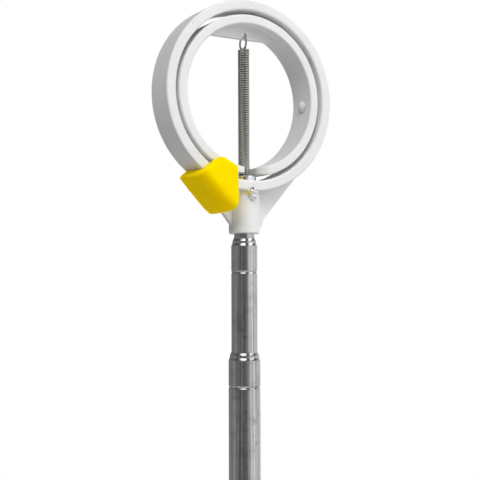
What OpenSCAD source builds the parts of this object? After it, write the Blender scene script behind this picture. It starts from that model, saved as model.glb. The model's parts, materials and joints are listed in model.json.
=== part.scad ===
// Telescoping ball retriever: a caging ring head on a five-section pole.
// The ring's middle plane is X-Z and the pole runs up +Z from the end cap.
// The ball goes in from the front, which is -Y, and the hinge line is X.

/* [Outer ring] */
// Outside radius of the outer ring
outer_ring_r = 32.7; // [31:0.1:36]
// Radial wall of the outer ring
outer_ring_wall = 3.45; // [3:0.05:4.5]
// Depth of the outer ring, front to back
outer_ring_depth = 11.6; // [10:0.1:13]
// Radius on the edges of both rings
ring_edge_r = 0.5; // [0.3:0.05:0.7]

/* [Inner ring] */
// Radial gap between the two rings
ring_gap = 1.45; // [1.3:0.05:2]
// Radial wall of the inner ring
inner_ring_wall = 3.15; // [2.8:0.05:3.6]
// Depth of the inner ring, front to back
inner_ring_depth = 11.5; // [10:0.1:12]
// Distance of the inner ring's middle behind the outer ring's
inner_ring_setback = 0.5; // [0.2:0.05:0.7]
// Opening of the inner ring to the left of its middle
gap_left = 2.7; // [2.4:0.1:3.6]
// Opening of the inner ring to the right of its middle
gap_right = 4; // [3.4:0.1:5]
// Radius on the front corner of the left arm's end
left_arm_corner_r = 0.6; // [0.4:0.1:2]
// Radius on the front corner of the right arm's end
right_arm_corner_r = 4.5; // [1:0.1:5]
// Depth of the flat that trims the arm ends where they pass the tube
arm_flat = 1.2; // [1.1:0.05:1.5]

/* [Spring plate in the inner ring] */
// Height of the plate from the ring's bore to its straight edge
plate_reach = 4.45; // [4:0.05:5]
// Thickness of the plate
plate_t = 1.4; // [1:0.1:1.6]
// Height of the hook hole above the straight edge
hook_hole_rise = 1.45; // [1.35:0.05:2]
// Radius of the hook hole
hook_hole_r = 0.8; // [0.75:0.05:1]

/* [Pivot pins] */
// Distance of the hinge line below the rings' middle
pivot_drop = 1; // [0.5:0.1:1.3]
// Radius of a pivot pin's shank
pin_r = 1; // [0.8:0.05:1.4]
// Radius of a pivot pin's domed head
pin_head_r = 2.15; // [1.5:0.05:2.4]
// Height of a pivot pin's domed head
pin_head_h = 1.2; // [0.6:0.05:1.4]
// Gap between a pivot pin's head and the inner ring's bore
pin_head_gap = 0.25; // [0.25:0.05:0.4]
// Wall left outside the blind end of each pin's hole
pin_cover = 0.9; // [0.6:0.1:1.5]
// Gap between the end of a pivot pin and the bottom of its hole
pin_end_gap = 0.1; // [0.05:0.05:0.3]
// Running clearance of the inner ring on its pins
pin_fit = 0.05; // [0.02:0.01:0.1]

/* [Hub and webs] */
// Radius of the hub
hub_r = 5.3; // [5:0.1:6.5]
// Length of the hub below the outer ring
hub_length = 14.4; // [12:0.1:20]
// Chamfer on the hub's lower edge
hub_edge = 0.3; // [0.1:0.05:0.5]
// Thickness of the two webs
web_t = 1.4; // [1:0.1:2]
// Distance of the right web's upper end from the middle
web_right_x = 21.4; // [18:0.1:23]
// Distance of the left web's upper end from the middle
web_left_x = 18.2; // [16:0.1:23]
// Depth of a web's upper edge inside the outer ring's rim
web_sink = 0.5; // [0.3:0.1:1]
// Width by which a web's outer corner spreads past its upper end
web_corner_out = 0.3; // [0:0.1:0.6]
// Drop of a web's outer corner below its upper end
web_corner_drop = 1.8; // [1:0.1:2.5]
// Distance of the right web's lower corner from the middle
web_low_x = 7.5; // [7:0.1:9]
// Height of the right web's lower corner above the hub's end
web_low_rise = 5.3; // [4:0.1:8]
// Height of the right web's lowest point above the hub's end
right_web_foot = 0.6; // [0.4:0.1:2]
// Width of the right web at its lowest point, outside the hub
web_foot_out = 0.2; // [0.1:0.1:1]
// Height of the left web's lowest point above the hub's end
left_web_foot = 2.6; // [1:0.1:6]

/* [Stop block] */
// Distance of the stop block's face in front of the outer ring
block_front = 3.7; // [3.2:0.1:5]
// Distance of the stop block's back behind the ring's middle
block_back = 5; // [4:0.1:6]
// Radius on the stop block's edges
block_edge_r = 1.1; // [0.8:0.1:1.4]
// Depth over which the stop block's outer front edge rolls back
block_nose = 1.8; // [1:0.1:2.5]
// Clearance of the block round the ring and web that it grips
block_fit = 0.05; // [0.02:0.01:0.1]

/* [Spring] */
// Outside diameter of the spring
spring_d = 4.1; // [3.8:0.1:4.3]
// Diameter of the spring's wire
wire_d = 0.6; // [0.5:0.05:0.7]
// Number of full curls in the spring's body
spring_curls = 38; // [30:1:38]
// Height of the upper loop's top above the hook hole's lower edge
loop_top_rise = 0.85; // [0.75:0.05:0.9]
// Length of each hook's straight leg
hook_leg = 1.6; // [1.2:0.1:2]
// Least gap of the wire under the rivet
rivet_wire_gap = 0.15; // [0.1:0.05:0.3]

/* [Rivet] */
// Radius of the rivet's shank
rivet_r = 1; // [0.8:0.05:1.1]
// Radius of the rivet's domed head
rivet_head_r = 2.05; // [1.8:0.05:2.2]
// Height of the rivet's domed head
rivet_head_h = 1.3; // [1:0.05:1.6]
// Height of the formed tail at the head's back
rivet_tail_h = 0.9; // [0.6:0.05:1.2]
// Radius of the formed tail where it lies on its boss
rivet_tail_r = 1.75; // [1.4:0.05:2]
// Gap between the formed tail and the boss under it
rivet_tail_gap = 0.05; // [0.03:0.01:0.1]
// Distance of the rivet below the outer ring's rim
rivet_drop = 0.7; // [0.5:0.1:1.5]

/* [Tubes] */
// Outside radius of the thinnest tube
tip_tube_r = 3.5; // [3.3:0.05:3.6]
// Wall of every tube
tube_wall = 0.5; // [0.45:0.05:0.6]
// Radial space between one tube and the next
tube_space = 0.5; // [0.45:0.05:0.6]
// Length of the base tube
base_length = 396; // [300:1:500]
// Length of each tube's rolled-in mouth
mouth_length = 2.95; // [2.5:0.05:4]
// Height of each of the two cones in a mouth
mouth_cone = 0.95; // [0.8:0.05:1.1]
// Height of the straight rim above a mouth's upper cone
mouth_rim_length = 0.25; // [0.1:0.05:0.4]
// Height of a mouth's thin rim over the tube inside it
mouth_rim = 0.18; // [0.15:0.01:0.25]
// Running clearance of a rolled-in mouth on the tube inside it
mouth_fit = 0.06; // [0.04:0.01:0.1]
// Distance of the rolled groove's middle below a tube's mouth
groove_drop = 11.8; // [10:0.1:16]
// Length of the rolled groove
groove_length = 1.2; // [1.1:0.1:2.4]
// Depth of the rolled groove
groove_depth = 0.2; // [0.1:0.02:0.22]
// Height of the thinnest tube's flared collar
collar_h = 1.6; // [1.2:0.1:1.8]
// Width of the flare round the thinnest tube
collar_flare = 0.6; // [0.4:0.05:0.8]
// Radius on the collar's upper edges
collar_lip_r = 0.5; // [0.3:0.05:0.5]
// Width of the flat seat that shows round the collar
seat_margin = 0.3; // [0.2:0.05:0.5]

/* [Pole as it stands] */
// Length of the second tube that shows above the third
second_out = 39; // [20:0.1:80]
// Length of the third tube that shows above the fourth
third_out = 58.1; // [20:0.1:80]
// Length of the fourth tube that shows above the base tube
fourth_out = 30; // [20:1:80]
// Length of each tube that shows when the pole is closed
closed_step = 16; // [14:1:20]
// Gap between the bushes and the plug when the pole is closed
closed_gap = 0.5; // [0.3:0.1:2]
// Gap between the hub and the second tube's mouth
hub_gap = 1.4; // [0.5:0.1:2]

/* [Slides] */
// Length of the guide bush on a tube's foot
bush_length = 8; // [6:0.5:12]
// Thickness of the bush's flange below the tube
bush_flange = 1.5; // [1:0.1:2]
// Chamfer on the bush's lower edge
bush_edge = 0.25; // [0.1:0.05:0.35]
// Running clearance of a bush or clip in the tube round it
slide_fit = 0.05; // [0.02:0.01:0.1]
// Clearance of a bush or clip on the tube that carries it
seat_fit = 0.03; // [0.01:0.01:0.06]
// Length of a friction clip
clip_length = 10; // [8:0.5:14]
// Depth of the taper at each end of a friction clip
clip_taper = 0.15; // [0.05:0.05:0.25]
// Length of the taper at each end of a friction clip
clip_taper_length = 0.8; // [0.4:0.1:1.5]
// Width of a friction clip's slit
clip_slit = 1.6; // [1:0.1:3]
// End gap of a friction clip
clip_gap = 0.2; // [0.1:0.05:0.4]

/* [Grip and end] */
// Outside radius of the grip
grip_r = 13; // [11:0.5:16]
// Length of the grip
grip_length = 230; // [160:1:280]
// Length of the grip's tapered nose
grip_nose = 14; // [8:1:20]
// Wall of the grip at the end of its nose
grip_nose_wall = 2; // [1.5:0.1:3]
// Thickness of the end cap
cap_t = 4; // [3.5:0.1:6]
// Step from the grip in to the end cap
cap_step = 0.3; // [0.2:0.1:1]
// Radius on the end cap's lower edge
cap_edge_r = 2; // [1:0.1:3]
// Length of the plug in the base tube
plug_length = 22; // [20:1:40]
// Radius of the cap screw's shank
screw_r = 1.5; // [1.2:0.1:2]
// Radius of the cap screw's head
screw_head_r = 3; // [2.5:0.1:3.5]
// Height of the cap screw's head
screw_head_h = 1.6; // [1.2:0.1:2]
// Length of the cap screw in the plug
screw_bite = 12; // [8:1:18]
// Depth of the plug's hole past the cap screw's end
screw_end_gap = 1; // [0.5:0.1:1.5]
// Clearance of the cap round the screw's shank
screw_hole_fit = 0.1; // [0.05:0.05:0.3]
// Clearance of the cap round the screw's head
screw_head_fit = 0.2; // [0.1:0.05:0.4]
// Width of the two crossed slots in the screw's head
screw_slot = 0.8; // [0.6:0.1:1]
// Length of the two crossed slots
screw_slot_length = 3.6; // [3:0.1:4.4]
// Depth of the two crossed slots
screw_slot_depth = 1; // [0.6:0.1:1.1]
// Depth of the screw head below the cap's face
screw_recess = 0.4; // [0.2:0.1:1]

/* [Hidden] */
$fn = 96;

// Colours
white_plastic = [0.94, 0.94, 0.94];
yellow_plastic = [1, 0.85, 0.02];
steel = [0.62, 0.62, 0.63];
bright_steel = [0.78, 0.78, 0.8];
spring_steel = [0.5, 0.49, 0.47];
brass = [0.78, 0.62, 0.3];
grey_plastic = [0.35, 0.36, 0.38];
black_rubber = [0.09, 0.09, 0.1];

// Reach of a cutter past the faces that it cuts
past = 1;
// Step that keeps a flat seat just clear of the curve beside it
seat_step = 0.02;
// Chamfer on the end of a pin's shank
tip_chamfer = 0.3;
// Steps of a rounded edge on the rings
edge_steps = 4;

// Rings, measured from the ring's centre
outer_bore_r = outer_ring_r - outer_ring_wall;
inner_ring_r = outer_bore_r - ring_gap;
inner_bore_r = inner_ring_r - inner_ring_wall;
outer_front = -outer_ring_depth / 2;
inner_front = inner_ring_setback - inner_ring_depth / 2;
inner_back = inner_ring_setback + inner_ring_depth / 2;
arm_flat_z = -(inner_ring_r - arm_flat);

// Spring plate and its hook hole
plate_edge_z = inner_bore_r - plate_reach;
hook_hole_z = plate_edge_z + hook_hole_rise;

// Middles of the stop block's rounded corners, each [angle from straight down, distance past the rim]
block_face = [[35.7, 1.55], [31.3, -6.15], [18.1, -5.75], [12.2, 5.55], [14.9, 8.2]];
block_side = [[36.7, 3.45], [16.9, 9]];
block_tail = [[36.6, 2.8], [25.2, -1.2], [16.9, -0.3], [14.3, 5.5], [16.8, 8.25]];
block_facets = 32;

// Hub, rivet and the seat of the thinnest tube's collar
hub_end_z = -(outer_ring_r + hub_length);
hub_bore_r = tip_tube_r + seat_fit;
collar_r = tip_tube_r + collar_flare;
collar_seat_r = collar_r + seat_margin;
// The seat stands just above the curved bore at the collar's rim
collar_seat_z = seat_step - sqrt(pow(outer_bore_r, 2) - pow(collar_seat_r, 2));
collar_top_z = collar_seat_z + collar_h;
rivet_z = -(outer_ring_r + rivet_drop);
rivet_front = min(outer_front, -hub_r) - seat_step;

// Spring: its wire runs round a mean radius, with a hook at each end
spring_mean_r = (spring_d - wire_d) / 2;
loop_top_z = hook_hole_z - hook_hole_r + loop_top_rise - wire_d / 2;
upper_arch_z = loop_top_z - spring_mean_r;
lower_arch_z = rivet_z - rivet_r - rivet_wire_gap - wire_d / 2 + spring_mean_r;
// A leg turns into the coil over an eighth of a turn
bend_angle = 45;
bend_length = 2 * spring_mean_r * bend_angle * PI / 180;
bend_rise = bend_length * PI / 4;
coil_low_z = lower_arch_z + hook_leg + bend_rise;
coil_high_z = upper_arch_z - hook_leg - bend_rise;
coil_turns = spring_curls + 0.5;
coil_pitch = (coil_high_z - coil_low_z) / coil_turns;
rings_per_curl = 8;
arch_rings = 12;
wire_sides = 6;

// Tubes, counted from the thinnest: 0 tip, 1 second, 2 third, 3 fourth, 4 base
function tube_r(n) = tip_tube_r + n * (tube_wall + tube_space);
function tube_bore_r(n) = tube_r(n) - tube_wall;
base_top = cap_t + base_length;
plug_top = cap_t + plug_length;
// Foot of every tube when the pole is closed
closed_foot = plug_top + bush_flange + closed_gap;
function length_of(n) = base_top + (4 - n) * closed_step - closed_foot;
top_z = [0, base_top + fourth_out + third_out + second_out, base_top + fourth_out + third_out,
    base_top + fourth_out, base_top];
second_foot = top_z[1] - length_of(1);
ring_z = top_z[1] + hub_gap + outer_ring_r + hub_length;
function foot_z(n) = n == 0 ? second_foot : n == 4 ? cap_t : top_z[n] - length_of(n);

// A smooth step from 0 to 1 as t goes from 0 to 1
function step01(t) = let (c = min(max(t, 0), 1)) c * c * (3 - 2 * c);
// Height of the lower cone above the mouth's shoulder
mouth_foot = 0.15;
// Share of a cone's width that its growing slope makes
cone_swell = 0.2;
// A cone of a mouth: its share of its full width, h above its foot
function cone(h) = let (t = min(max(h / mouth_cone, 0), 1)) t * (1 - cone_swell + cone_swell * t);
// How far a rolled-in mouth lies inside the tube's full radius, h above its shoulder, in two cones
function mouth_inset(h) = (tube_wall + tube_space - mouth_rim)
    * (cone(h - mouth_foot) + cone(h - mouth_length + mouth_rim_length + mouth_cone)) / 2;
// How far the rolled groove dips, d from its middle
function groove_dip(d) = abs(d) > groove_length / 2 ? 0
    : groove_depth * (1 + cos(360 * d / groove_length)) / 2;
groove_steps = 8;
cone_steps = 4;
// Points of an arc from angle a to angle b
function arc(x, y, r, a, b, n) = [for (i = [0:n])
    let (t = a + (b - a) * i / n) [x + r * cos(t), y + r * sin(t)]];

// Turns a shape drawn in X-Y with its height on Z so that its height runs along Y
module along_y() {
    rotate([-90, 0, 0]) children();
}

// A round bar between two points of the Y axis
module bar_y(r, from, to) {
    translate([0, from, 0]) along_y() cylinder(r = r, h = to - from);
}

// A ring round the Y axis with rounded edges
module ring_y(outer, inner, from, to) {
    r = ring_edge_r;
    depth = to - from;
    translate([0, from, 0]) along_y() rotate_extrude()
        polygon(concat(arc(inner + r, r, r, 180, 270, edge_steps), arc(outer - r, r, r, -90, 0, edge_steps),
            arc(outer - r, depth - r, r, 0, 90, edge_steps),
            arc(inner + r, depth - r, r, 90, 180, edge_steps)));
}

// A plate in the X-Z plane, centred on Y = 0
module plate_xz(t) {
    rotate([90, 0, 0]) linear_extrude(height = t, center = true) children();
}

// A domed head on a shank, along Z: the head's seat is at 0 and the dome points down
module domed_pin(shank, length, head, height) {
    dome_r = (head * head + height * height) / (2 * height);
    dome_a = asin(head / dome_r);
    rotate_extrude() polygon(concat([[0, length], [0, -height]],
        [for (i = [1:8]) let (t = dome_a * i / 8) [dome_r * sin(t), dome_r - height - dome_r * cos(t)]],
        [[shank, 0], [shank, length - tip_chamfer], [shank - tip_chamfer, length]]));
}

// Height of a web's upper end inside the outer ring's rim
function web_top(x) = -sqrt(pow(outer_ring_r - web_sink, 2) - pow(x, 2));

// The left web ends in a straight edge on the hub, the right one runs on down the hub
module web_outline() {
    left_top = web_top(web_left_x);
    right_top = web_top(web_right_x);
    polygon([[0, left_top], [-web_left_x, left_top],
        [-web_left_x - web_corner_out, left_top - web_corner_drop],
        [-hub_r, hub_end_z + left_web_foot], [0, hub_end_z + left_web_foot]]);
    polygon([[0, right_top], [web_right_x, right_top],
        [web_right_x + web_corner_out, right_top - web_corner_drop],
        [web_low_x, hub_end_z + web_low_rise],
        [hub_r + web_foot_out, hub_end_z + right_web_foot], [0, hub_end_z + right_web_foot]]);
}

module head_frame() {
    color(white_plastic) translate([0, 0, ring_z]) difference() {
        union() {
            ring_y(outer_ring_r, outer_bore_r, outer_front, -outer_front);
            // The hub, the webs and the boss under the rivet's two heads end inside the ring's wall
            difference() {
                union() {
                    translate([0, 0, hub_end_z]) cylinder(r1 = hub_r - hub_edge, r2 = hub_r, h = hub_edge);
                    translate([0, 0, hub_end_z + hub_edge])
                        cylinder(r = hub_r, h = hub_length + outer_ring_wall - hub_edge);
                    plate_xz(web_t) web_outline();
                    translate([0, 0, rivet_z]) bar_y(rivet_head_r, rivet_front, -rivet_front);
                }
                bar_y(outer_ring_r - outer_ring_wall / 2, -outer_ring_depth, outer_ring_depth);
            }
            // Flat seat for the tube's collar
            translate([0, 0, collar_seat_z - outer_ring_wall])
                cylinder(r = collar_seat_r, h = outer_ring_wall);
        }
        translate([0, 0, hub_end_z - past]) cylinder(r = hub_bore_r, h = -hub_end_z);
        translate([0, 0, rivet_z]) bar_y(rivet_r + seat_fit, -2 * hub_r, 2 * hub_r);
        for (side = [-90, 90]) translate([0, 0, -pivot_drop]) rotate([0, side, 0])
            cylinder(r = pin_r + seat_fit / 2, h = outer_ring_r - pin_cover);
    }
}

// Cutter for the inner ring's opening, with its front corners rounded off
module arm_gap() {
    left = left_arm_corner_r;
    right = right_arm_corner_r;
    front = inner_front - past;
    back = inner_back + past;
    translate([0, 0, -inner_ring_r - past]) linear_extrude(height = inner_ring_wall * 2)
        polygon(concat([[gap_right, back], [-gap_left, back]],
            arc(-gap_left - left, inner_front + left, left, 0, -90, 6),
            [[-gap_left - left, front], [gap_right + right, front]],
            arc(gap_right + right, inner_front + right, right, -90, -180, 10)));
}

module inner_ring() {
    color(white_plastic) translate([0, 0, ring_z]) difference() {
        union() {
            ring_y(inner_ring_r, inner_bore_r, inner_front, inner_back);
            plate_xz(plate_t) difference() {
                circle(r = inner_bore_r + inner_ring_wall / 2);
                translate([-2 * inner_ring_r, -4 * inner_ring_r + plate_edge_z])
                    square([4 * inner_ring_r, 4 * inner_ring_r]);
            }
        }
        arm_gap();
        translate([-inner_ring_r, -inner_ring_r, arm_flat_z - inner_ring_r])
            cube([2 * inner_ring_r, 2 * inner_ring_r, inner_ring_r]);
        translate([0, 0, hook_hole_z]) bar_y(hook_hole_r, -plate_t, plate_t);
        translate([0, 0, -pivot_drop]) rotate([0, 90, 0])
            cylinder(r = pin_r + pin_fit, h = 2 * outer_ring_r, center = true);
    }
}

// A pivot pin: its head lies on the inner ring's bore and its shank is held in the outer ring
module pivot_pin(side) {
    seat = inner_bore_r - pin_head_gap;
    length = outer_ring_r - pin_cover - pin_end_gap - seat;
    color(white_plastic) translate([side * seat, 0, ring_z - pivot_drop])
        rotate([0, side * 90, 0]) domed_pin(pin_r, length, pin_head_r, pin_head_h);
}

module spring_rivet() {
    reach = rivet_tail_gap - 2 * rivet_front;
    color(bright_steel) translate([0, rivet_front, ring_z + rivet_z]) along_y() union() {
        domed_pin(rivet_r, reach + tip_chamfer, rivet_head_r, rivet_head_h);
        translate([0, 0, reach]) cylinder(r1 = rivet_tail_r, r2 = rivet_r, h = rivet_tail_h);
    }
}

// One rounded corner of the stop block, at [angle from straight down, distance past the rim] and at y
module block_corner(p, y) {
    reach = outer_ring_r + p[1];
    translate([-reach * sin(p[0]), y, -reach * cos(p[0])]) sphere(r = block_edge_r, $fn = block_facets);
}

module stop_block() {
    front = outer_front - block_front;
    r = block_edge_r;
    color(yellow_plastic) translate([0, 0, ring_z]) difference() {
        hull() {
            // The flat face and its outer edge, rolled back to the side
            for (p = block_face) block_corner(p, front + r);
            for (p = block_side) block_corner(p, front + r + block_nose);
            // The back, which tapers a little
            for (p = block_tail) block_corner(p, block_back - r);
        }
        // The outer ring, its bore and the swing of the inner ring behind its face
        bar_y(outer_ring_r + block_fit, outer_front - block_fit, 3 * block_back);
        // The web that it clips over
        plate_xz(web_t + 2 * block_fit) offset(delta = block_fit) web_outline();
        // The hub
        translate([0, 0, hub_end_z - past]) cylinder(r = hub_r + block_fit, h = -hub_end_z);
    }
}

// One ring of the spring's path: [centre, outward direction, direction of travel]
function leg_ring(a, z, up) = [[spring_mean_r * cos(a), spring_mean_r * sin(a), z],
    [cos(a), sin(a), 0], [0, 0, up]];
function coil_ring(a, z, slope) = [[spring_mean_r * cos(a), spring_mean_r * sin(a), z],
    [cos(a), sin(a), 0], [-sin(a) * sqrt(1 - slope * slope), cos(a) * sqrt(1 - slope * slope), slope]];
// A half circle above or below its centre, in the upright plane at angle a
function arch_ring(a, z, t, up) = let (out = [cos(a) * cos(t), sin(a) * cos(t), sin(t)])
    [[spring_mean_r * out[0], spring_mean_r * out[1], z + spring_mean_r * out[2]], out,
        up * [-cos(a) * sin(t), -sin(a) * sin(t), cos(t)]];
// Height gained in a bend after the share u of its length
function bend_gain(u) = bend_length * (u * sqrt(1 - u * u) + asin(u) * PI / 180) / 2;

coil_slope = coil_pitch / sqrt(pow(coil_pitch, 2) + pow(2 * PI * spring_mean_r, 2));
coil_start = bend_angle;
coil_end = coil_start + 360 * coil_turns;
upper_a = coil_end + bend_angle;
coil_count = coil_turns * rings_per_curl;
spring_path = concat(
    [leg_ring(180, lower_arch_z + hook_leg / 2, -1)],
    [for (i = [0:arch_rings]) arch_ring(0, lower_arch_z, -180 + 180 * i / arch_rings, 1)],
    [for (i = [0:4]) let (u = i / 4.5)
        coil_ring(bend_angle * u * u, lower_arch_z + hook_leg + bend_gain(u), sqrt(1 - u * u))],
    [for (i = [0:coil_count]) coil_ring(coil_start + (coil_end - coil_start) * i / coil_count,
        coil_low_z + (coil_high_z - coil_low_z) * i / coil_count, coil_slope)],
    [for (i = [4:-1:0]) let (u = i / 4.5)
        coil_ring(upper_a - bend_angle * u * u, upper_arch_z - hook_leg - bend_gain(u), sqrt(1 - u * u))],
    [for (i = [0:arch_rings]) arch_ring(upper_a, upper_arch_z, 180 * i / arch_rings, 1)],
    [leg_ring(upper_a + 180, upper_arch_z - hook_leg, -1)]);
spring_rings = len(spring_path);
spring_gap = min([for (i = [0:spring_rings - 7]) min([for (j = [i + 6:spring_rings - 1])
    norm(spring_path[i][0] - spring_path[j][0])])]) - wire_d;
echo(spring_least_gap_mm = spring_gap, spring_pitch_mm = coil_pitch, spring_rings = spring_rings);

module trap_spring() {
    points = [for (p = spring_path) let (side = cross(p[2], p[1])) for (k = [0:wire_sides - 1])
        let (t = 360 * k / wire_sides) p[0] + wire_d / 2 * (cos(t) * p[1] + sin(t) * side)];
    walls = [for (i = [0:spring_rings - 2]) for (k = [0:wire_sides - 1])
        let (a = i * wire_sides, n = (k + 1) % wire_sides)
        each [[a + k, a + n, a + wire_sides + k], [a + n, a + wire_sides + n, a + wire_sides + k]]];
    last = (spring_rings - 1) * wire_sides;
    ends = [for (k = [1:wire_sides - 2]) each [[0, k + 1, k], [last, last + k, last + k + 1]]];
    color(spring_steel) translate([0, 0, ring_z]) polyhedron(points = points, faces = concat(walls, ends));
}

// A tube from its foot at 0 to its rolled-in mouth at its length
module telescope_tube(n, length) {
    r = tube_r(n);
    mouth_bore = tube_r(n - 1) + mouth_fit;
    shoulder = length - mouth_length;
    groove_z = length - groove_drop;
    groove = [for (i = [0:groove_steps]) groove_z + groove_length * (i / groove_steps - 0.5)];
    mouth = concat([0], [for (low = [mouth_foot, mouth_length - mouth_rim_length - mouth_cone])
        each [for (i = [0:cone_steps]) low + mouth_cone * i / cone_steps]], [mouth_length]);
    outside = concat([[r, 0]], [for (z = groove) [r - groove_dip(z - groove_z), z]],
        [for (h = mouth) [r - mouth_inset(h), shoulder + h]]);
    inside = concat([[r - tube_wall, 0]], [for (z = groove) [r - tube_wall - groove_dip(z - groove_z), z]],
        [for (h = mouth) [max(mouth_bore, r - tube_wall - mouth_inset(h)), shoulder + h]]);
    count = len(inside);
    rotate_extrude() polygon(concat(outside, [for (i = [count - 1:-1:0]) inside[i]]));
}

module pole_tube(n) {
    color(steel) translate([0, 0, foot_z(n)])
        telescope_tube(n, (n == 4 ? base_top : top_z[n]) - foot_z(n));
}

// The thinnest tube runs up through the hub to a flared collar inside the ring
module tip_tube() {
    foot = foot_z(0);
    seat = ring_z + collar_seat_z;
    top = ring_z + collar_top_z;
    lip = collar_lip_r;
    color(bright_steel) difference() {
        rotate_extrude() polygon(concat([[tip_tube_r - tube_wall, foot], [tip_tube_r, foot],
            [tip_tube_r, seat], [collar_r, seat]], arc(collar_r - lip, top - lip, lip, 0, 90, 6),
            arc(tip_tube_r - tube_wall + lip, top - lip, lip, 90, 180, 6)));
        translate([0, 0, ring_z + rivet_z]) bar_y(rivet_r + seat_fit, -2 * hub_r, 2 * hub_r);
    }
}

// A guide bush on the foot of tube n, with a flange under the tube's end
module guide_bush(n) {
    foot = foot_z(n);
    outer = tube_bore_r(n + 1) - slide_fit;
    color(grey_plastic) rotate_extrude() polygon([[tube_bore_r(n), foot - bush_flange],
        [outer - bush_edge, foot - bush_flange], [outer, foot - bush_flange + bush_edge],
        [outer, foot + bush_length], [tube_r(n) + seat_fit, foot + bush_length],
        [tube_r(n) + seat_fit, foot], [tube_bore_r(n), foot]]);
}

// A split spring sleeve that rides on tube n above its bush and rubs in the tube outside
module friction_clip(n) {
    low = foot_z(n) + bush_length + clip_gap;
    inner = tube_r(n) + seat_fit;
    outer = tube_bore_r(n + 1) - slide_fit;
    color(brass) translate([0, 0, low]) difference() {
        rotate_extrude() polygon([[inner, 0], [outer - clip_taper, 0], [outer, clip_taper_length],
            [outer, clip_length - clip_taper_length], [outer - clip_taper, clip_length],
            [inner, clip_length]]);
        translate([0, -clip_slit / 2, -past]) cube([2 * outer, clip_slit, clip_length + 2 * past]);
    }
}

module grip() {
    bore = tube_r(4) + seat_fit;
    nose_r = bore + grip_nose_wall;
    top = cap_t + grip_length;
    color(black_rubber) rotate_extrude() polygon(concat([[bore, cap_t], [grip_r, cap_t]],
        [for (i = [0:10]) let (t = i / 10)
            [grip_r - (grip_r - nose_r) * step01(t), top - grip_nose * (1 - t)]],
        [[bore, top]]));
}

module base_plug() {
    color(grey_plastic) translate([0, 0, cap_t]) difference() {
        cylinder(r = tube_bore_r(4) - seat_fit, h = plug_length);
        translate([0, 0, -past]) cylinder(r = screw_r + seat_fit, h = screw_bite + screw_end_gap + past);
    }
}

module end_cap() {
    cap_r = grip_r - cap_step;
    color(black_rubber) difference() {
        rotate_extrude() polygon(concat([[0, 0]],
            arc(cap_r - cap_edge_r, cap_edge_r, cap_edge_r, -90, 0, 8), [[cap_r, cap_t], [0, cap_t]]));
        translate([0, 0, -past]) cylinder(r = screw_r + screw_hole_fit, h = cap_t + 2 * past);
        translate([0, 0, -past])
            cylinder(r = screw_head_r + screw_head_fit, h = screw_recess + screw_head_h + past);
    }
}

module cap_screw() {
    color(bright_steel) translate([0, 0, screw_recess]) difference() {
        union() {
            cylinder(r = screw_head_r, h = screw_head_h);
            cylinder(r = screw_r, h = cap_t - screw_recess + screw_bite);
        }
        for (a = [0, 90]) rotate([0, 0, a]) translate([-screw_slot_length / 2, -screw_slot / 2, -past])
            cube([screw_slot_length, screw_slot, screw_slot_depth + past]);
    }
}

head_frame();
inner_ring();
pivot_pin(-1);  // left_pivot_pin
pivot_pin(1);  // right_pivot_pin
trap_spring();
spring_rivet();
stop_block();
tip_tube();
pole_tube(1);  // second_tube
pole_tube(2);  // third_tube
pole_tube(3);  // fourth_tube
pole_tube(4);  // base_tube
guide_bush(0);  // tip_bush
guide_bush(1);  // second_bush
guide_bush(2);  // third_bush
guide_bush(3);  // fourth_bush
friction_clip(0);  // tip_clip
friction_clip(1);  // second_clip
friction_clip(2);  // third_clip
friction_clip(3);  // fourth_clip
grip();
base_plug();
end_cap();
cap_screw();
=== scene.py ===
"""Looks for a telescoping ball retriever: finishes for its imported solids, a wound spring, a struck
rivet, a soft stop block, a textured grip, and the studio that it stands in. Lengths are in metres,
in the solids' frame: +Z runs up the pole, the ball goes in from -Y, and the inner ring hinges
about X."""

import json
import math

import bmesh
import bpy
import numpy as np
from bpy.props import FloatProperty, FloatVectorProperty, IntProperty, PointerProperty
from mathutils import Matrix, Vector


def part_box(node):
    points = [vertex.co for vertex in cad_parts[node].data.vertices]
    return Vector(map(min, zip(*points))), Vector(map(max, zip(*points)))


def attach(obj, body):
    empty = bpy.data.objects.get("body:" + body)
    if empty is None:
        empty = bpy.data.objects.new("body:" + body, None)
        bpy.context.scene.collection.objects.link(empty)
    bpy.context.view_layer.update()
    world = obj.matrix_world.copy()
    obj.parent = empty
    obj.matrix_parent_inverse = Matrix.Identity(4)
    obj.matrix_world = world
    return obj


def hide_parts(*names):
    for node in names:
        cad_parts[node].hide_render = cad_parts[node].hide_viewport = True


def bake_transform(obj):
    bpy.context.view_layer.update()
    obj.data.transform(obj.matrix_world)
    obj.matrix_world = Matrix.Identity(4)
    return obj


bl_info = {
    "name": "Ball retriever looks",
    "version": (1, 0, 0),
    "blender": (4, 5, 0),
    "location": "3D View > Sidebar > Retriever",
    "description": "Dresses a telescoping ball retriever and lights it",
    "category": "Object",
}

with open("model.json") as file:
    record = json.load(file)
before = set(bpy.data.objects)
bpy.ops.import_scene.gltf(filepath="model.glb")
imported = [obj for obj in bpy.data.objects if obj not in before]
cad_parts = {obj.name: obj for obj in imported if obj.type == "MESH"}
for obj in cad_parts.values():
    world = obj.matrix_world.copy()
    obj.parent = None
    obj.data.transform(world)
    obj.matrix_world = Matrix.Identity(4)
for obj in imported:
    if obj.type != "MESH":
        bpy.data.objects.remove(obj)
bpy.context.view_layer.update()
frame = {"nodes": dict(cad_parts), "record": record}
MM = 0.001
HEAD, TRAP, BASE = "head", "trap_ring", "base_section"


def length(name, description, millimetres):
    """A length property whose default is given in millimetres."""
    return FloatProperty(name=name, description=description, default=millimetres * MM, min=0,
                         subtype="DISTANCE", unit="LENGTH", precision=5)


def colour(name, description, default):
    """A linear colour property."""
    return FloatVectorProperty(name=name, description=description, default=default, size=3,
                               min=0, max=1, subtype="COLOR")


def number(name, description, default, low=0.0):
    """A plain number property."""
    return FloatProperty(name=name, description=description, default=default, min=low)


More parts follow.
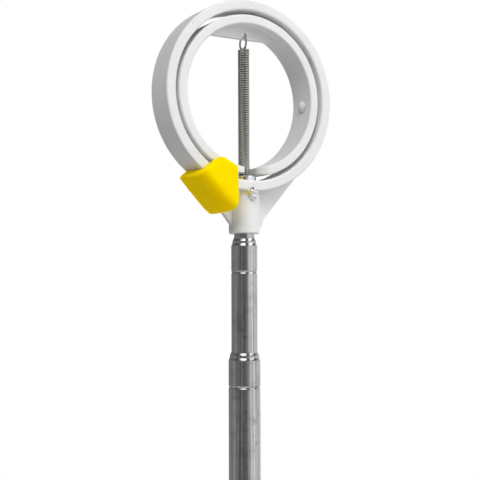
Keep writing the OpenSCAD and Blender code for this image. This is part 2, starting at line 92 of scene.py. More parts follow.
def angle(name, description, degrees):
    """An angle property whose default is given in degrees."""
    return FloatProperty(name=name, description=description, default=math.radians(degrees),
                         subtype="ANGLE", unit="ROTATION")


class RetrieverSpring(bpy.types.PropertyGroup):
    """Sizes of the wound spring."""

    wire: length("Wire", "Diameter of the wire", 0.7)
    outside: length("Outside", "Outside diameter of the coil", 4.1)
    turns: IntProperty(name="Turns", description="Turns of the body", default=58, min=4)
    leg: length("Leg", "Straight length of the lower hook", 1.6)
    eye_width: length("Eye width", "Width of the upper eye between the wire's middles", 3.5)
    eye_height: length("Eye height", "Height of the upper eye between the wire's middles", 4.3)
    eye_rise: length("Eye rise", "Climb of the wire from the body in to the eye", 0.35)
    sides: IntProperty(name="Sides", description="Sides of the wire", default=10, min=5)
    rings: IntProperty(name="Rings", description="Rings of points in one turn", default=16, min=8)


class RetrieverRivet(bpy.types.PropertyGroup):
    """Shape of the struck rivet."""

    lengthening: number("Lengthening", "Share by which the head is longer than it is wide", 0.15)
    dome: length("Dome", "Height of the head", 1.6)
    seat: length("Seat", "Distance of the head's seat behind the solid's front", 1.3)
    tail: length("Tail", "Height of the formed tail", 0.9)
    crease: length("Crease", "Depth of the crease across the head", 0.3)
    shank: length("Shank", "Radius of the shank", 1.0)


class RetrieverBlock(bpy.types.PropertyGroup):
    """Softness of the stop block."""

    crispness: number("Crispness", "Higher is a tighter fillet at the top, right and back", 24, 2)
    softness: number("Softness", "Lower is a wider fillet at the bottom", 5, 2)
    corner: number("Corner", "Lower is a wider fillet on the left corner", 3.5, 2)
    roll: number("Roll", "Lower is a wider roll from the face to the side", 2.2, 1)
    fit: length("Fit", "Gap between the block and the outer ring", 0.05)


class RetrieverGrip(bpy.types.PropertyGroup):
    """Sizes of the grip's moulded pattern."""

    dimple: length("Dimple depth", "Depth of one dimple", 0.45)
    around: IntProperty(name="Around", description="Dimples round the grip", default=14, min=4)
    pitch: length("Pitch", "Distance between two rows of dimples", 6)
    lip: length("Lip", "Smooth band at each end", 7)
    fade: length("Fade", "Length over which the dimples deepen past the lip", 2)
    nose: length("Nose", "Length of the narrowing towards the tube", 14)
    nose_wall: length("Nose wall", "Wall of the narrow end, over the tube", 2)
    clearance: length("Clearance", "Gap between the grip and the tube", 0.03)
    rim: length("Rim", "Rounding of the lower end, inwards", 0.5)
    rim_height: length("Rim height", "Rounding of the lower end, upwards", 0.6)


class RetrieverColours(bpy.types.PropertyGroup):
    """Colours of the finishes."""

    white: colour("White plastic", "The rings, the hub and the pins", (0.87, 0.87, 0.87))
    yellow: colour("Yellow plastic", "The stop block", (1.0, 0.76, 0.0))
    tube: colour("Tube steel", "The pole's tubes", (0.6, 0.6, 0.605))
    polished: colour("Polished steel", "The rivet, the screw and the collar", (0.93, 0.93, 0.94))
    wire: colour("Spring wire", "The spring", (0.54, 0.525, 0.49))
    brass: colour("Brass", "The friction clips", (0.72, 0.5, 0.2))
    grey: colour("Grey plastic", "The bushes and the plug", (0.12, 0.125, 0.13))
    rubber: colour("Rubber", "The grip and the end cap", (0.03, 0.03, 0.032))


class RetrieverStudio(bpy.types.PropertyGroup):
    """Camera, lamps and room."""

    lens: number("Lens", "Focal length in mm on a 36 mm sensor", 75)
    yaw: angle("Yaw", "Turn of the camera to the left of the front", 31.02)
    pitch: angle("Pitch", "How far the camera looks up", 2.466)
    roll: angle("Roll", "Tilt of the camera about its own axis", -0.18)
    camera_at: FloatVectorProperty(name="Camera", description="Place of the camera", subtype="XYZ",
                                   default=(-0.178215, -0.293542, 0.511608), unit="LENGTH")
    left_lamp: number("Left lamp", "Brightness of the lamp over the camera", 8.3)
    right_lamp: number("Right lamp", "Brightness of the lamp at the right", 2.2)
    fill_lamp: number("Fill lamp", "Brightness of the low lamp in front", 3.4)
    floor: colour("Floor", "The pale floor", (0.86, 0.86, 0.86))


# --- Meshes ---

def grid_faces(rows, columns):
    """Faces of a grid of points, counted row by row. Each row is closed on itself."""
    row = np.arange(rows - 1)[:, None]
    column = np.arange(columns)[None, :]
    beside = (column + 1) % columns
    corners = [row * columns + column, row * columns + beside,
               (row + 1) * columns + beside, (row + 1) * columns + column]
    return np.stack([c.ravel() for c in corners], axis=1)


def shut_faces(rows, columns):
    """The same with one more face over each end."""
    last = (rows - 1) * columns
    ends = [list(range(columns)), list(range(last, last + columns))]
    return grid_faces(rows, columns).tolist() + ends


def new_piece(name, points, faces, uv=None, smooth_angle=None):
    """A mesh object from points and faces, with its faces turned outwards. uv is a pair of values
    per point, and edges sharper than smooth_angle stay sharp."""
    mesh = bpy.data.meshes.new(name)
    mesh.from_pydata(np.asarray(points).reshape(-1, 3).tolist(), [], [list(f) for f in faces])
    if uv is not None:
        corner = np.zeros(len(mesh.loops), int)
        mesh.loops.foreach_get("vertex_index", corner)
        mesh.uv_layers.new(name="along").data.foreach_set("uv", np.asarray(uv)[corner].ravel())
    turn_outwards(mesh)
    mesh.shade_smooth()
    if smooth_angle is not None:
        mesh.set_sharp_from_angle(angle=math.radians(smooth_angle))
    piece = bpy.data.objects.new(name, mesh)
    bpy.context.scene.collection.objects.link(piece)
    return piece


def close_poles(rings, poles):
    """Points and faces of a skin of rings, with a point added at each end."""
    rows, columns = rings.shape[:2]
    count = rows * columns
    here = np.arange(columns)
    beside = (here + 1) % columns
    first = np.stack([np.full(columns, count), beside, here], axis=1)
    there = count - columns
    last = np.stack([np.full(columns, count + 1), there + here, there + beside], axis=1)
    faces = grid_faces(rows, columns).tolist() + first.tolist() + last.tolist()
    return np.concatenate([rings.reshape(-1, 3), poles]), faces


def turn_outwards(mesh, weld=None):
    """Turns the faces of closed shells outwards. Points nearer than weld are merged first."""
    work = bmesh.new()
    work.from_mesh(mesh)
    if weld:
        bmesh.ops.remove_doubles(work, verts=work.verts, dist=weld)
    bmesh.ops.recalc_face_normals(work, faces=work.faces)
    work.to_mesh(mesh)
    work.free()


def tube_along(centre, reference, radius, sides):
    """A closed tube along a path: round each centre lies a circle across the path, which starts at
    the part of reference that is square to the path. Both ends are shut."""
    travel = unit(np.gradient(centre, axis=0))
    outward = unit(reference - np.sum(reference * travel, axis=1, keepdims=True) * travel)
    side = np.cross(travel, outward)
    turn = np.linspace(0, 2 * np.pi, sides, endpoint=False)
    circle = (np.cos(turn)[None, :, None] * outward[:, None, :]
              + np.sin(turn)[None, :, None] * side[:, None, :])
    points = centre[:, None, :] + radius * circle
    return points.reshape(-1, 3), shut_faces(len(centre), sides)


def unit(vectors):
    """Vectors of length 1."""
    return vectors / np.linalg.norm(vectors, axis=-1, keepdims=True)


def cut_away(piece, cutter):
    """Cuts one closed piece out of another and removes the cutter."""
    step = piece.modifiers.new("cut", "BOOLEAN")
    step.operation = "DIFFERENCE"
    step.solver = "EXACT"
    step.object = cutter
    cut = piece.evaluated_get(bpy.context.evaluated_depsgraph_get())
    shaped = bpy.data.meshes.new_from_object(cut)
    piece.modifiers.clear()
    piece.data = shaped
    bpy.data.objects.remove(cutter)


def drum_y(name, radius, front, back, segments=192):
    """A closed cylinder round the ring's axis, with its rim's points at equal angles."""
    a = np.linspace(0, 2 * np.pi, segments, endpoint=False)
    rim = np.stack([radius * np.cos(a), 0 * a, ring_centre().z + radius * np.sin(a)], axis=1)
    points = np.concatenate([rim + [0, front, 0], rim + [0, back, 0]])
    return new_piece(name, points, shut_faces(2, segments))


# --- Places that come from the solids ---

def ring_centre():
    """Centre of the outer ring: its radius below the head's top."""
    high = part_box("head_frame")[1]
    return Vector((0, 0, high.z - high.x))


# --- Node helpers ---

def feed(inputs, values):
    """Gives named inputs their values. A value that is another node's output is linked."""
    for key, value in values.items():
        if isinstance(value, bpy.types.NodeSocket):
            inputs[key].id_data.links.new(value, inputs[key])
        else:
            inputs[key].default_value = value


def put(tree, kind, sockets=None, **settings):
    """Adds a node and feeds its sockets, by name or number."""
    made = tree.nodes.new(kind)
    made.location = (180 * len(tree.nodes), 0)
    for key, value in settings.items():
        setattr(made, key, value)
    feed(made.inputs, sockets or {})
    return made


def maths(tree, operation, a, b=0.0, clamp=False):
    """The output of a Math node."""
    made = put(tree, "ShaderNodeMath", {0: a, 1: b}, operation=operation, use_clamp=clamp)
    return made.outputs[0]


def spread(tree, value, low, high, start=0.3, end=0.7):
    """low where value is start, high where it is end, straight between them and level outside."""
    ends = {"Value": value, "From Min": start, "From Max": end, "To Min": low, "To Max": high}
    return put(tree, "ShaderNodeMapRange", ends).outputs[0]


def noise(tree, vector, scale, detail=2.0, roughness=0.5):
    """The factor of a Noise Texture."""
    sockets = {"Vector": vector, "Scale": scale, "Detail": detail, "Roughness": roughness}
    return put(tree, "ShaderNodeTexNoise", sockets).outputs[0]


def vector_maths(tree, operation, a, b=(0, 0, 0)):
    """A Vector Math node's vector, or its value for a product or a length."""
    placed = put(tree, "ShaderNodeVectorMath", {0: a, 1: b}, operation=operation)
    return placed.outputs["Value" if operation in ("DOT_PRODUCT", "LENGTH") else "Vector"]


def parts_of(tree, vector):
    """The three parts of a vector."""
    return put(tree, "ShaderNodeSeparateXYZ", {0: vector}).outputs


def object_place(tree):
    """The place on the object, in metres."""
    return put(tree, "ShaderNodeTexCoord").outputs["Object"]


def bevelled(tree, radius, samples):
    """The normal with its edges softened."""
    return put(tree, "ShaderNodeBevel", {"Radius": radius}, samples=samples).outputs[0]


def bumped(tree, height, distance, normal=None):
    """The normal that a height gives, on top of another normal where there is one."""
    sockets = {"Height": height, "Distance": distance}
    if normal is not None:
        sockets["Normal"] = normal
    return put(tree, "ShaderNodeBump", sockets).outputs[0]


def blend_sockets(tree, factor, first, second):
    """The colour that goes from first to second with factor. Each is a socket or four numbers."""
    made = put(tree, "ShaderNodeMix", {"Factor": factor, 6: first, 7: second}, data_type="RGBA")
    return made.outputs[2]


def blend_colours(tree, factor, first, second):
    """The same for two colours of three numbers."""
    return blend_sockets(tree, factor, (*first, 1), (*second, 1))


def grey(value):
    """A grey as a colour of four numbers."""
    return (value, value, value, 1)


def new_group(name, inputs, outputs):
    """An empty node group with its sockets. inputs maps names to defaults, outputs to types."""
    group = bpy.data.node_groups.new(name, "ShaderNodeTree")
    sockets = group.interface.new_socket
    for label, value in inputs.items():
        sockets(label, in_out="INPUT", socket_type="NodeSocketFloat").default_value = value
    for label, kind in outputs.items():
        sockets(label, in_out="OUTPUT", socket_type=kind)
    return group, put(group, "NodeGroupInput").outputs, put(group, "NodeGroupOutput").inputs


# What both skins put out. Tone goes from 0, the darker colour, to 1, the lighter one.
SKIN_OUTPUTS = {"Tone": "NodeSocketFloat", "Roughness": "NodeSocketFloat",
                "Normal": "NodeSocketVector"}


def moulded_skin_group():
    """Moulded plastic or rubber: a fine grain, broad flow tones and softened edges."""
    group, given, out = new_group("Moulded skin", {
        "Grain size": 0.0004, "Grain depth": 0.00001, "Flow size": 0.015, "Edge radius": 0.0003,
        "Roughness low": 0.35, "Roughness high": 0.45}, SKIN_OUTPUTS)
    place = object_place(group)
    grain = noise(group, place, maths(group, "DIVIDE", 1.0, given["Grain size"]), 3.0, 0.6)
    flow = noise(group, place, maths(group, "DIVIDE", 1.0, given["Flow size"]), 2.0)
    soft = bevelled(group, given["Edge radius"], 8)
    feed(out, {"Tone": spread(group, flow, 0.0, 1.0),
               "Roughness": spread(group, grain, given["Roughness low"], given["Roughness high"]),
               "Normal": bumped(group, grain, given["Grain depth"], soft)})
    return group


# Drawn metal: how far a line runs on along Z against its width round the axis, and how dense the
# smears, the specks and the smudges lie
LINE_STRETCH, SMEARS, SPECKS_PER_METRE, SMUDGES_PER_METRE = 1.2, 7.0, 650.0, 190.0


def drawn_metal_group():
    """Drawn tube: fine and broad lines along Z that run round the tube's axis without a seam, with
    small dull specks, hand smudges and softened edges."""
    group, given, out = new_group("Drawn metal", {
        "Lines": 45.0, "Line depth": 0.00001, "Specks": 0.5, "Smudges": 0.0, "Edge radius": 0.0001,
        "Roughness low": 0.12, "Roughness high": 0.2}, SKIN_OUTPUTS)
    place = object_place(group)
    flat = vector_maths(group, "MULTIPLY", place, (1, 1, 0))
    rise = vector_maths(group, "MULTIPLY", place, (0, 0, LINE_STRETCH))
    along = vector_maths(group, "ADD", vector_maths(group, "NORMALIZE", flat), rise)
    fine = noise(group, along, given["Lines"], 3.0, 0.65)
    broad = noise(group, along, maths(group, "MULTIPLY", given["Lines"], 0.25), 2.0)
    lines = maths(group, "ADD", maths(group, "MULTIPLY", fine, 0.4),
                  maths(group, "MULTIPLY", broad, 0.6))
    smears = noise(group, along, SMEARS, 2.0)
    specks = spread(group, noise(group, place, SPECKS_PER_METRE, 2.0), 0.0, 1.0, 0.64, 0.72)
    smudges = spread(group, noise(group, place, SMUDGES_PER_METRE, 3.0, 0.6), 0.0, 1.0, 0.5, 0.75)
    marred = maths(group, "ADD", maths(group, "MULTIPLY", specks, given["Specks"]),
                   maths(group, "MULTIPLY", smudges, given["Smudges"]))
    tone = maths(group, "SUBTRACT", spread(group, lines, 0.0, 1.0, 0.36, 0.64), marred, True)
    soft = bevelled(group, given["Edge radius"], 6)
    feed(out, {"Tone": tone,
               "Roughness": spread(group, smears, given["Roughness low"], given["Roughness high"]),
               "Normal": bumped(group, lines, given["Line depth"], soft)})
    return group


# Ejector marks on the head's front, in mm to the right of the ring's centre and above it
MARKS = [(21.85, 21.85), (-21.85, 21.85), (-21.85, -21.85), (21.85, -21.85), (0, 30.9),
         (9.7, -34.0)]


def marks_group():
    """The height of ejector marks on the head's front: shallow round dents with a raised rim."""
    group, given, out = new_group("Ejector marks", {"Radius": 0.0011, "Rim": 0.0002},
                                  {"Height": "NodeSocketFloat"})
    place = object_place(group)
    flat = vector_maths(group, "MULTIPLY", place, (1, 0, 1))
    height = 0.0
    for x, z in MARKS:
        middle = (x * MM, 0, ring_centre().z + z * MM)
        away = vector_maths(group, "LENGTH", vector_maths(group, "SUBTRACT", flat, middle))
        past = maths(group, "SUBTRACT", away, given["Radius"])
        rim = spread(group, maths(group, "ABSOLUTE", past), 1.0, 0.0, 0.0, given["Rim"])
        dent = spread(group, past, 0.5, 0.0, -0.1 * MM, 0.1 * MM)
        height = maths(group, "ADD", height, maths(group, "SUBTRACT", rim, dent))
    front = maths(group, "LESS_THAN", parts_of(group, place)[1], 0.0)
    feed(out, {"Height": maths(group, "MULTIPLY", height, front)})
    return group


def wear_group():
    """A mask of rubbed edges: where a softened normal leaves the true one, broken by a grain."""
    group, given, out = new_group("Edge wear", {"Width": 0.0004, "Grain size": 0.0006},
                                  {"Mask": "NodeSocketFloat"})
    true = put(group, "ShaderNodeNewGeometry").outputs["Normal"]
    same = vector_maths(group, "DOT_PRODUCT", bevelled(group, given["Width"], 6), true)
    edge = spread(group, maths(group, "SUBTRACT", 1.0, same), 0.0, 1.0, 0.01, 0.12)
    grain = noise(group, object_place(group), maths(group, "DIVIDE", 1.0, given["Grain size"]), 3.0)
    rough = spread(group, grain, 0.2, 1.0)
    feed(out, {"Mask": maths(group, "MULTIPLY", edge, rough, True)})
    return group


GROUPS = {"skin": moulded_skin_group, "drawn": drawn_metal_group, "marks": marks_group,
          "wear": wear_group}
made_groups = {}


def effect(tree, kind, **values):
    """Places one of the shared effects in a material, with its own values. Returns its outputs."""
    if kind not in made_groups:
        made_groups[kind] = GROUPS[kind]()
    placed = put(tree, "ShaderNodeGroup", node_tree=made_groups[kind])
    feed(placed.inputs, {name.replace("_", " ").capitalize(): v for name, v in values.items()})
    return placed.outputs


def shade(rgb, share):
    """A colour made darker or lighter by a share."""
    return tuple(min(1.0, c * share) for c in rgb)


def new_material(name):
    """A material with its node tree and its Principled shader."""
    material = bpy.data.materials.new(name)
    material.use_nodes = True
    shader = material.node_tree.nodes["Principled BSDF"]
    return material, material.node_tree, shader


def dressed_material(name, rgb, dark, light, kind, **values):
    """A material with an effect's roughness and normal, and a colour that the effect's tone takes
    from one share of rgb to another. Returns it with its tree, shader, colour and effect."""
    material, tree, shader = new_material(name)
    skin = effect(tree, kind, **values)
    base = blend_colours(tree, skin["Tone"], shade(rgb, dark), shade(rgb, light))
    feed(shader.inputs, {"Base Color": base, "Roughness": skin["Roughness"],
                         "Normal": skin["Normal"]})
    return material, tree, shader, base, skin


# --- Materials ---

# Depth of the ejector marks, and of the lines on a tube
MARK_DEPTH, LINE_DEPTH = 0.08 * MM, 0.009 * MM
# Painted glow on the yellow: the colour of an emission that only the camera sees, which brightens
# the block and lights nothing, its strength, and the tint of what little the skin mirrors
PAINTED_GLOW_COLOUR, PAINTED_GLOW, YELLOW_SHINE = (1.0, 0.4, 0.0, 1), 0.13, (1.0, 0.75, 0.0, 1)
# Height of the polished collar at the top of the thinnest tube, and of the blend to the drawn part
COLLAR, COLLAR_FADE = 1.9 * MM, 0.3 * MM
# Painted shade in the grooves between the spring's turns: its dark colour, and where on the way
# round the wire from its outer line it is darkest and where it ends
GROOVE_SHADE, GROOVE_SHADE_FROM, GROOVE_SHADE_TO = (0.03, 0.028, 0.02, 1), 0.24, 0.11
# How dense the wire's lines lie along it and round it, and their depth
WIRE_LINES, WIRE_DEPTH = (0.15, 9.0, 1.0), 0.006 * MM


def colours():
    """The colours of the finishes."""
    return bpy.context.scene.retriever_colours


def white_plastic():
    """Satin white moulding."""
    material, tree, shader, _, skin = dressed_material(
        "white_plastic", colours().white, 0.965, 1.0, "skin", grain_size=0.00035,
        grain_depth=0.000008, flow_size=0.018, edge_radius=0.0005, roughness_low=0.38,
        roughness_high=0.5)
    marked = bumped(tree, effect(tree, "marks")["Height"], MARK_DEPTH, skin["Normal"])
    feed(shader.inputs, {"Normal": marked})
    return material


def yellow_plastic():
    """Satin yellow moulding that lets some light in, with a painted glow that only the camera sees.
    """
    material, tree, shader, *_ = dressed_material(
        "yellow_plastic", colours().yellow, 0.95, 1.0, "skin", grain_size=0.0004,
        grain_depth=0.000008, flow_size=0.012, edge_radius=0.0005, roughness_low=0.4,
        roughness_high=0.52)
    # Painted glow: emission for camera rays only, which brightens the block as seen and lights
    # nothing
    seen = put(tree, "ShaderNodeLightPath").outputs["Is Camera Ray"]
    feed(shader.inputs, {
        "Specular IOR Level": 0.02, "Specular Tint": YELLOW_SHINE, "Emission Color": PAINTED_GLOW_COLOUR,
        "Emission Strength": maths(tree, "MULTIPLY", seen, PAINTED_GLOW), "Subsurface Weight": 0.5,
        "Subsurface Scale": 0.003, "Subsurface Radius": (1.0, 0.6, 0.05)})
    return material


def tube_steel():
    """Stainless tube, drawn lengthwise. The flared collar in the ring is polished bright."""
    material, tree, shader, base, drawn = dressed_material(
        "tube_steel", colours().tube, 0.58, 1.36, "drawn", lines=45.0, specks=0.4, smudges=0.35,
        edge_radius=0.0001, roughness_low=0.1, roughness_high=0.17)
    height = parts_of(tree, object_place(tree))[2]
    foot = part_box("tip_tube")[1].z - COLLAR
    bright = spread(tree, height, 0.0, 1.0, foot, foot + COLLAR_FADE)
    smooth = spread(tree, bright, 1.0, 0.4, 0.0, 1.0)
    depth = spread(tree, bright, LINE_DEPTH, 0.0, 0.0, 1.0)
    feed(drawn["Tone"].node.inputs, {"Line depth": depth})
    feed(shader.inputs, {
        "Base Color": blend_sockets(tree, bright, base, (*colours().polished, 1)),
        "Roughness": maths(tree, "MULTIPLY", drawn["Roughness"], smooth), "Metallic": 1.0})
    return material


def polished_steel():
    """Polished steel with shallow dents."""
    material, _, shader, *_ = dressed_material(
        "polished_steel", colours().polished, 0.9, 1.0, "skin", grain_size=0.0016,
        grain_depth=0.00005, flow_size=0.003, edge_radius=0.00012, roughness_low=0.12,
        roughness_high=0.2)
    feed(shader.inputs, {"Metallic": 1.0})
    return material


def spring_wire():
    """Drawn wire: lines along the wire, read from its own map, and painted shade in the grooves
    between its turns. Round the wire the map has its outer line at 0.5. Along it, 0 is the last
    turn."""
    material, tree, shader = new_material("spring_wire")
    rgb = colours().wire
    place = put(tree, "ShaderNodeUVMap", uv_map="along").outputs[0]
    stretched = vector_maths(tree, "MULTIPLY", place, WIRE_LINES)
    lines = noise(tree, stretched, 1.0, 3.0)
    run, around, _ = parts_of(tree, place)
    aside = maths(tree, "ABSOLUTE", maths(tree, "SUBTRACT", around, 0.5))
    # Painted shade: on the body's turns the wire's colour darkens towards the grooves between them
    unshaded = spread(tree, aside, 1.0, 0.12, GROOVE_SHADE_TO, GROOVE_SHADE_FROM)
    unshaded = maths(tree, "MAXIMUM", unshaded, maths(tree, "GREATER_THAN", run, 0.0))
    metal = blend_colours(tree, spread(tree, lines, 0.0, 1.0), shade(rgb, 0.85), rgb)
    feed(shader.inputs, {
        "Base Color": blend_sockets(tree, unshaded, GROOVE_SHADE, metal), "Metallic": 1.0,
        "Roughness": spread(tree, lines, 0.12, 0.2), "Normal": bumped(tree, lines, WIRE_DEPTH)})
    return material


def clip_brass():
    """Rolled brass strip."""
    material, _, shader, *_ = dressed_material(
        "clip_brass", colours().brass, 0.8, 1.0, "drawn", lines=30.0, line_depth=0.000006,
        edge_radius=0.0001, roughness_low=0.2, roughness_high=0.35)
    feed(shader.inputs, {"Metallic": 1.0})
    return material


def grey_plastic():
    """Moulded grey nylon."""
    return dressed_material(
        "grey_plastic", colours().grey, 0.85, 1.0, "skin", grain_size=0.0003, grain_depth=0.00001,
        flow_size=0.006, edge_radius=0.0002, roughness_low=0.4, roughness_high=0.55)[0]


def black_rubber():
    """Matt rubber, greyed on its rubbed edges."""
    rgb = colours().rubber
    material, tree, shader, base, _ = dressed_material(
        "black_rubber", rgb, 0.8, 1.0, "skin", grain_size=0.0005, grain_depth=0.00003,
        flow_size=0.02, edge_radius=0.0003, roughness_low=0.55, roughness_high=0.75)
    wear = effect(tree, "wear", width=0.0005, grain_size=0.0012)
    worn = maths(tree, "MULTIPLY", wear["Mask"], 0.5)
    feed(shader.inputs, {"Base Color": blend_sockets(tree, worn, base, (*shade(rgb, 3.0), 1))})
    return material


MATERIALS = {"white_plastic": white_plastic, "yellow_plastic": yellow_plastic,
             "tube_steel": tube_steel, "bright_steel": polished_steel, "spring_steel": spring_wire,
             "clip_brass": clip_brass, "grey_plastic": grey_plastic, "black_rubber": black_rubber}
SLOTS = {part["node"]: part["material_slot"] for part in frame["record"]["subparts"]}
made_materials = {}


def finish_of(slot):
    """The material of one of the record's slots, made once."""
    if slot not in made_materials:
        made_materials[slot] = MATERIALS[slot]()
    return made_materials[slot]


def dress(piece, slot):
    """Gives a piece the material of a slot."""
    piece.data.materials.clear()
    piece.data.materials.append(finish_of(slot))


def dress_node(name):
    """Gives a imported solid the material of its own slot."""
    dress(frame["nodes"][name], SLOTS[name])


# --- Pieces ---

# Rings of the wire along its lower hook, the hook's bend, the arch to the eye, and the eye
HOOK_RINGS, BEND_RINGS, ARCH_RINGS, EYE_RINGS = 19, 8, 14, 48
# How far the wire goes round the eye, in half turns
EYE_REACH = 1.93


def spring_path(size, low, high):
    """The wire's centres and a reference direction at each, from the bottom hook to the top eye.
    The body is a helix: its point at angle a is at mean radius r and at a height that grows in line
    with a. The lower hook is a half circle of radius r in the X-Z plane, and its leg turns into the
    body over an eighth of a turn, its slope falling as a quarter of a sine. At the top a half
    circle of radius r / 2 leads in from the rim to the axis, and the eye is an ellipse in the Y-Z
    plane, which drifts aside by the wire's width towards its end."""
    r = (size.outside - size.wire) / 2
    bend = np.pi / 4
    bend_length = 2 * r * bend
    arch_z = low + size.wire / 2 + r
    leg_z = arch_z + size.leg
    coil_low = leg_z + bend_length * np.pi / 4
    eye_z = high - size.wire / 2 - size.eye_height
    coil_high = eye_z - size.eye_rise
    turned = 2 * np.pi * size.turns - bend
    steps = np.linspace(0, 1, int(size.turns * size.rings) + 1)
    parts = []

    def add(x, y, z, reference):
        """One stretch of the path."""
        centre = np.stack(np.broadcast_arrays(x, y, z), axis=1)
        parts.append((centre, np.stack(np.broadcast_arrays(*reference, x)[:3], axis=1)))

    def coil(a, z):
        """A stretch at radius r and angle a."""
        add(r * np.cos(a), r * np.sin(a), z, (np.cos(a), np.sin(a), 0.0))

    add(np.array([-r]), 0.0, arch_z + size.leg / 2, (-1.0, 0.0, 0.0))
    t = np.linspace(-np.pi, 0, HOOK_RINGS)
    add(r * np.cos(t), 0.0, arch_z + r * np.sin(t), (np.cos(t), 0.0, np.sin(t)))
    u = np.linspace(0, 1, BEND_RINGS, endpoint=False)
    coil(bend * u ** 2, leg_z + bend_length * (u * np.sqrt(1 - u ** 2) + np.arcsin(u)) / 2)
    coil(bend + turned * steps, coil_low + (coil_high - coil_low) * steps)
    t = np.linspace(0, np.pi, ARCH_RINGS + 1)[1:]
    add(r / 2 * (1 + np.cos(t)), r / 2 * np.sin(t), coil_high + size.eye_rise * t / np.pi,
        (1 - np.sin(t), 0.0, np.sin(t)))
    t = np.linspace(0, EYE_REACH * np.pi, EYE_RINGS + 1)[1:]
    add(-size.wire * (t / (2 * np.pi)) ** 2, -size.eye_width / 2 * np.sin(t),
        eye_z + size.eye_height / 2 * (1 - np.cos(t)), (1.0, 0.0, 0.0))
    return [np.concatenate(p) for p in zip(*parts)]


class RETRIEVER_OT_spring(bpy.types.Operator):
    """Winds the spring"""

    bl_idname = "retriever.spring"
    bl_label = "Wind the spring"

    def execute(self, context):
        size = context.scene.retriever_spring
        low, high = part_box("trap_spring")
        centre, reference = spring_path(size, low.z, high.z)
        points, faces = tube_along(centre, reference, size.wire / 2, size.sides)
        steps = np.linalg.norm(np.diff(centre, axis=0), axis=1)
        run = np.concatenate([[0], np.cumsum(steps)]) / size.wire
        run -= run[-ARCH_RINGS - EYE_RINGS - 1]
        around = (np.linspace(0, 1, size.sides, endpoint=False) + 0.5) % 1
        uv = np.stack(np.broadcast_arrays(run[:, None], around[None, :]), axis=2).reshape(-1, 2)
        piece = new_piece("wound_spring", points, faces, uv=uv)
        dress(piece, "spring_steel")
        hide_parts("trap_spring")
        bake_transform(piece)
        return {"FINISHED"}


# The struck head, in shares of its radius and of its dome's height: how uneven its outline is, the
# place and slope of the line struck across it, the crease's width, and for the flats above and
# below the line their height at it and how much they fall away from it
UNEVEN = 0.05
LINE_PLACE, LINE_SLOPE, CREASE_WIDTH = 0.1, 0.2, 0.1
ABOVE, ABOVE_FALL, BELOW, BELOW_FALL = 0.9, 0.1, 0.8, 0.12
# The tail's radius where it starts and halfway, in shares of the shank's
TAIL_FOOT, TAIL_MIDDLE = 1.75, 1.5


def rivet_surface(size, low, high, seat):
    """The rivet's skin, as rings round its axis from the middle of its head to the middle of its
    tail. The head's outline is a circle, lengthened in Z, with a little of the sine of twice the
    angle. At share p of its radius, the head's height over its seat is the lower of a dome of
    1 - p ** 3 and a flat: a high one above the line, a low one below it, both falling away from
    it. Along the line lies a bell-shaped crease."""
    a = np.linspace(0, 2 * np.pi, 64, endpoint=False)[None, :]
    head = high.x
    p = np.sin(np.linspace(0, np.pi / 2, 30))[:, None]
    x = p * np.cos(a)
    z = p * (np.sin(a) + UNEVEN * np.sin(2 * a))
    line = z + LINE_PLACE + LINE_SLOPE * x
    flats = np.where(line > 0, ABOVE - ABOVE_FALL * line, BELOW + BELOW_FALL * line)
    crease = size.crease * np.exp(-(line / CREASE_WIDTH) ** 2) * (1 - p ** 4)
    height = size.dome * np.minimum(1 - p ** 3, flats) - crease
    skin = np.stack([head * x, seat - height, head * (1 + size.lengthening) * z], axis=2)
    back = high.y - size.tail
    profile = [(size.shank, seat), (size.shank, back), (TAIL_FOOT * size.shank, back),
               (TAIL_MIDDLE * size.shank, back + size.tail / 2), (size.shank, high.y)]
    rest = [np.stack(np.broadcast_arrays(r * np.cos(a), y, r * np.sin(a)), axis=2)
            for r, y in profile]
    middle = np.array([0, 0, (low.z + high.z) / 2])
    poles = [skin[0, 0] + middle, middle + [0, high.y, 0]]
    return np.concatenate([skin[1:], *rest]) + middle, poles


class RETRIEVER_OT_rivet(bpy.types.Operator):
    """Strikes the rivet's head"""

    bl_idname = "retriever.rivet"
    bl_label = "Strike the rivet"

    def execute(self, context):
        size = context.scene.retriever_rivet
        low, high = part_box("spring_rivet")
        rings, poles = rivet_surface(size, low, high, low.y + size.seat)
        piece = new_piece("struck_rivet", *close_poles(rings, poles), smooth_angle=40)
        dress(piece, "bright_steel")
        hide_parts("spring_rivet")
        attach(piece, HEAD)
        return {"FINISHED"}


# Corners of the stop block before its edges are rounded, in mm from the ring's centre
BLOCK_CORNERS = {
    "face_left": (-23.3, -9.5, -29.5), "face_top": (-13.6, -9.5, -21.8),
    "face_high": (-7.7, -9.5, -24.8), "face_right": (-7.3, -9.5, -37.5),
    "face_low": (-8.3, -9.5, -40.0), "roll_low": (-12.6, -9.5, -42.4),
    "side_left": (-22.9, -6.6, -29.8), "side_low": (-12.3, -6.6, -39.4),
    "tail_left": (-23.3, 5.0, -28.6), "tail_top": (-12.8, 5.0, -27.9),
    "tail_high": (-7.0, 5.0, -28.8), "tail_right": (-9.3, 5.0, -37.7),
    "tail_low": (-13.0, 5.0, -40.7),
}
# Walls of the block, each through three corners
BLOCK_WALLS = {
    "face": ("face_left", "face_top", "face_low"),
    "roll": ("face_left", "roll_low", "side_left"),
    "side": ("side_left", "side_low", "tail_low"),
    "back": ("tail_left", "tail_top", "tail_low"),
    "upper_left": ("face_left", "face_top", "tail_left"),
    "upper_right": ("face_top", "face_high", "tail_high"),
    "right": ("face_high", "face_right", "tail_right"),
    "lower_right": ("face_right", "face_low", "tail_right"),
    "bottom": ("face_low", "side_low", "tail_low"),
}
CRISP_WALLS = ("back", "upper_right", "right", "lower_right")


